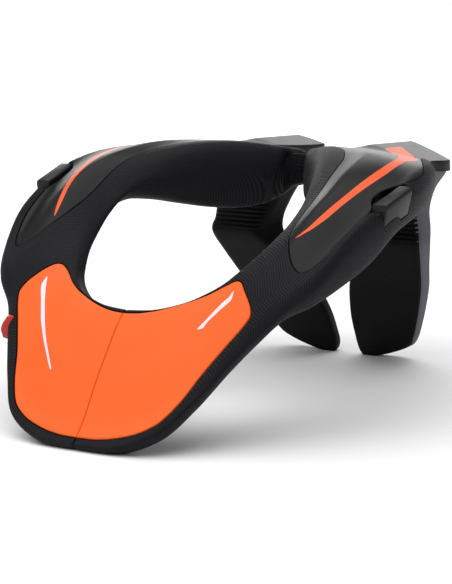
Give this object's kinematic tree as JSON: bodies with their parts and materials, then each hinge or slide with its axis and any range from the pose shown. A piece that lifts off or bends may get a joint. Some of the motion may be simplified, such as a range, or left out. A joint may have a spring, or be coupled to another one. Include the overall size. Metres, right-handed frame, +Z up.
{
  "type": "motocross neck brace",
  "caption": "Youth motocross neck brace: a padded ring collar with orange chest panels, hard grey shoulder shells, and flat legs down the back.",
  "frame": {"origin": "centre of the brace in plan, on the floor that it stands on", "axes": "+Z up, -Y towards the wearer's chest, +X towards the arm at the picture's right"},
  "size_m": [0.2586, 0.2918, 0.145],
  "materials": {
    "collar_fabric": "embossed ribbed weave",
    "orange_panel": "matt moulding",
    "shell_grey": "satin moulding",
    "leg_black": "smooth laminated cloth",
    "clip_black": "satin moulding",
    "tab_red": "satin moulding"
  },
  "bodies": {
    "brace": {"collar_right": "collar_fabric", "collar_left": "collar_fabric", "rear_bridge": "collar_fabric", "front_panel_right": "orange_panel", "front_panel_left": "orange_panel", "arm_shell_right": "shell_grey", "arm_shell_left": "shell_grey", "strap_clip_right": "clip_black", "strap_clip_left": "clip_black", "back_leg_right": "leg_black", "back_leg_left": "leg_black"},
    "tab": {"release_tab": "tab_red"}
  },
  "joints": [
    {"name": "tab_press", "type": "slide", "parent": "brace", "child": "tab", "axis": [0.8098, 0.5868, 0], "range_m": [0, 0.0025], "stiffness_N_per_m": 400}
  ]
}
